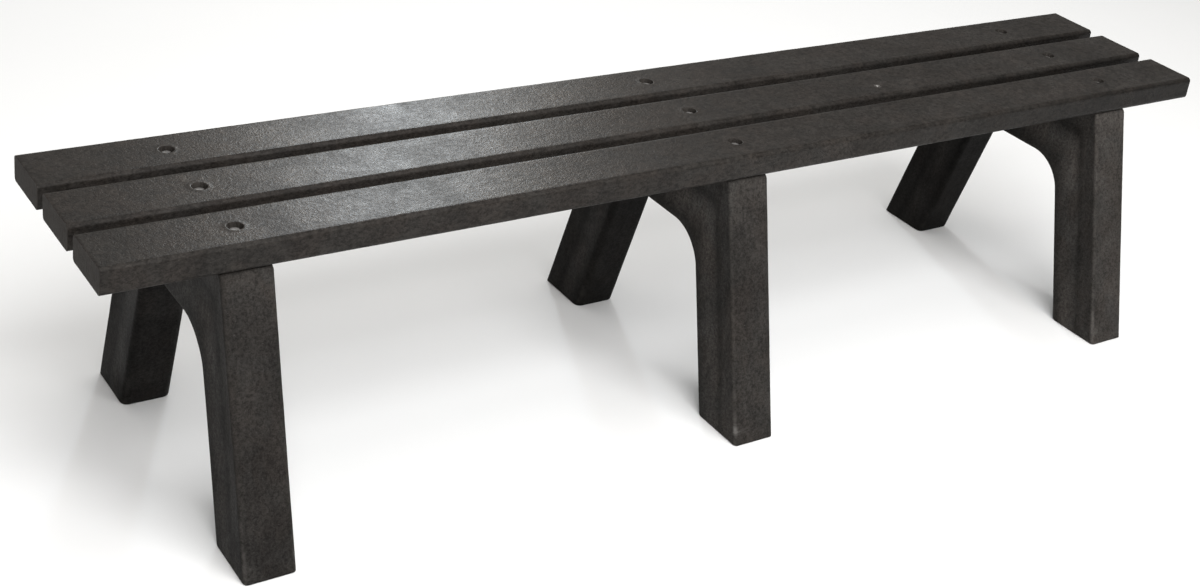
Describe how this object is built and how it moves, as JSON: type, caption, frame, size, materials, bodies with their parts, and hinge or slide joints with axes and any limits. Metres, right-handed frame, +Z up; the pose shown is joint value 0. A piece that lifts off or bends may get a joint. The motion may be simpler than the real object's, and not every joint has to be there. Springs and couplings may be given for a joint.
{
  "type": "backless bench",
  "caption": "Backless street bench of recycled-plastic slats coach-screwed to moulded A-shaped leg frames, for sitting outdoors.",
  "frame": {"origin": "on the ground, under the middle of the seat", "axes": "+X along the bench, +Y to its rear, +Z up"},
  "size_m": [2, 0.5614, 0.445],
  "materials": {
    "slat_plastic": "charcoal extruded recycled plastic, fibrous grain along the slat, satin top",
    "frame_plastic": "charcoal moulded recycled plastic, matt and slightly mottled",
    "screw_steel": "dull zinc-plated steel",
    "washer_steel": "dull weathered zinc-plated steel"
  },
  "bodies": {
    "root": {"slat_rear": "slat_plastic", "slat_middle": "slat_plastic", "slat_front": "slat_plastic", "leg_frame_left": "frame_plastic", "coach_screw_left_rear": "screw_steel", "washer_left_rear": "washer_steel", "coach_screw_left_middle": "screw_steel", "washer_left_middle": "washer_steel", "coach_screw_left_front": "screw_steel", "washer_left_front": "washer_steel", "leg_frame_centre": "frame_plastic", "coach_screw_centre_rear": "screw_steel", "washer_centre_rear": "washer_steel", "coach_screw_centre_middle": "screw_steel", "washer_centre_middle": "washer_steel", "coach_screw_centre_front": "screw_steel", "washer_centre_front": "washer_steel", "leg_frame_right": "frame_plastic", "coach_screw_right_rear": "screw_steel", "washer_right_rear": "washer_steel", "coach_screw_right_middle": "screw_steel", "washer_right_middle": "washer_steel", "coach_screw_right_front": "screw_steel", "washer_right_front": "washer_steel"}
  },
  "joints": []
}
